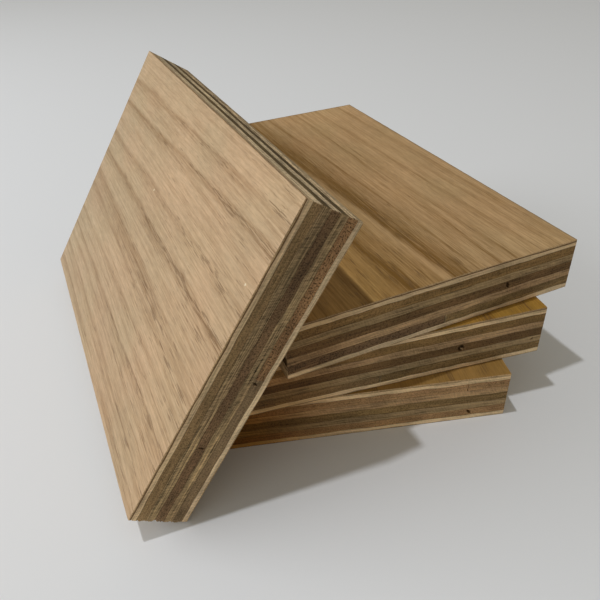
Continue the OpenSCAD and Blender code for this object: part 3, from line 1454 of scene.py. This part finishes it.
    def check(self, piece: bpy.types.Object, node: str) -> None:
        """Warns if a piece doesn't lie where its solid does.

        Args:
            piece: The dressed ply.
            node: Name of the solid that it stands for.
        """
        low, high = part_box(node)
        corners = np.empty(3 * len(piece.data.vertices), np.float32)
        piece.data.vertices.foreach_get("co", corners)
        corners = corners.reshape(-1, 3)
        off = max(np.abs(corners.min(0) - low).max(), np.abs(corners.max(0) - high).max()) / MM
        if off > self.ALLOWED_OFF:
            log.warning("%s is %.2f mm from its solid", node, off)


@dataclass(frozen=True)
class Studio:
    """Floor, lamps, world and camera, which are not part of the object.

    Attributes:
        eye: The camera's place, in millimetres.
        yaw: Turn of the view from +Y towards +X, in degrees.
        pitch: Tilt of the view below the horizon, in degrees.
        roll: Turn of the frame about the view, in degrees.
        focal: Focal length in pixels of the frame.
        frame_px: Width of the frame in pixels.
        sensor: Width of the camera's sensor, in millimetres.
        nearest: Distance at which the view starts, in metres.
        floor_radius: Radius of the floor, in metres.
        floor_points: Number of points round it.
        floor_finish: Finish of the floor.
        sky: Colour of the world's light.
        sky_strength: Its strength at the horizon and straight above.
    """

    eye: Triple = (-32.141, -213.79, 155.016)
    yaw: float = 6.332
    pitch: float = 35.543
    roll: float = -2.594
    focal: float = 616.13
    frame_px: float = 600.0
    sensor: float = 36.0
    nearest: float = 0.01
    floor_radius: float = 4.0
    floor_points: int = 96
    floor_finish: PlainFinish = PlainFinish("pale_floor", (0.775, 0.79, 0.80), 0.55, 0.3)
    sky: Colour = (1.0, 0.95, 0.84)
    sky_strength: tuple[float, float] = (0.13, 0.45)

    def build(self) -> None:
        """Makes the floor, the lamps, the world and the camera."""
        scene = bpy.context.scene
        scene.view_settings.view_transform = "Standard"
        self.floor()
        self.lamps()
        self.world()
        scene.camera = self.camera()

    def floor(self) -> None:
        """A wide pale matt disc: radius times the sine and cosine of the angle."""
        angle = np.linspace(0, 2 * math.pi, self.floor_points + 1)[:-1]
        points = np.stack([np.cos(angle), np.sin(angle), 0 * angle], 1) * self.floor_radius
        mesh = bpy.data.meshes.new("floor")
        mesh.from_pydata(points.tolist(), [], [list(range(len(points)))])
        mesh.materials.append(self.floor_finish.material())
        floor = bpy.data.objects.new("floor", mesh)
        bpy.context.scene.collection.objects.link(floor)

    def lamp(self, name: str, energy: float, stand: Triple, **settings: object) -> None:
        """Adds an area lamp that shines on the origin.

        Args:
            name: Name of the lamp.
            energy: Its power, in watts.
            stand: Where it stands, in metres.
            **settings: Other attributes of the lamp.
        """
        data = bpy.data.lights.new(name, "AREA")
        data.energy = energy
        for key, value in settings.items():
            setattr(data, key, value)
        lamp = bpy.data.objects.new(name, data)
        lamp.location = stand
        lamp.rotation_euler = Vector(stand).to_track_quat("Z", "Y").to_euler()
        bpy.context.scene.collection.objects.link(lamp)

    def lamps(self) -> None:
        """A small high lamp that draws the shadows, and a broad one on the left."""
        self.lamp(
            "high_lamp", 12.6, (-0.50, -0.10, 2.0),
            shape="DISK", size=0.07, color=(0.98, 1.0, 1.05),
        )
        self.lamp(
            "left_window", 4.5, (-0.95, 0.1, 0.52),
            shape="RECTANGLE", size=0.7, size_y=0.6, color=(0.98, 1.0, 1.06),
        )

    def world(self) -> None:
        """Soft pale light that is strongest from above."""
        world = bpy.data.worlds.new("studio")
        world.use_nodes = True
        g, sky = Graph(world.node_tree), world.node_tree.nodes["Background"]
        height = g.parts(g.add("TexCoord").outputs["Generated"])[2]
        low, high = self.sky_strength
        strength = g.add("MapRange", {0: height, 1: 0.0, 2: 1.0, 3: low, 4: high})
        g.feed(sky.inputs["Color"], self.sky)
        g.feed(sky.inputs["Strength"], strength.outputs[0])
        bpy.context.scene.world = world

    def camera(self) -> bpy.types.Object:
        """The camera at the photograph's viewing angle.

        Returns:
            The camera object.
        """
        yaw, pitch, roll = (math.radians(a) for a in (self.yaw, self.pitch, self.roll))
        ahead = Vector((math.sin(yaw) * math.cos(pitch), math.cos(yaw) * math.cos(pitch), -math.sin(pitch)))
        right = Vector((math.cos(yaw), -math.sin(yaw), 0))
        up = right.cross(ahead)
        side = math.cos(roll) * right + math.sin(roll) * up
        top = math.cos(roll) * up - math.sin(roll) * right
        data = bpy.data.cameras.new("camera")
        data.sensor_width = self.sensor
        data.lens = self.focal / self.frame_px * self.sensor
        data.clip_start = self.nearest
        camera = bpy.data.objects.new("camera", data)
        turn = Matrix((side, top, -ahead)).transposed().to_4x4()
        camera.matrix_world = Matrix.Translation(Vector(self.eye) * MM) @ turn
        bpy.context.scene.collection.objects.link(camera)
        return camera


def main() -> None:
    """Builds the sheets from the floor up, and then the studio around them."""
    logging.basicConfig(level=logging.INFO, format="%(message)s")
    layup = Layup()
    arrangement = Arrangement(layup)
    make_ply_wood()
    make_oak_figure()
    for place in SheetPlace:
        for piece in Sheet(place, layup, arrangement).build():
            log.info("%s: %d faces", piece.name, len(piece.data.polygons))
    Studio().build()


if __name__ == "__main__":
    main()
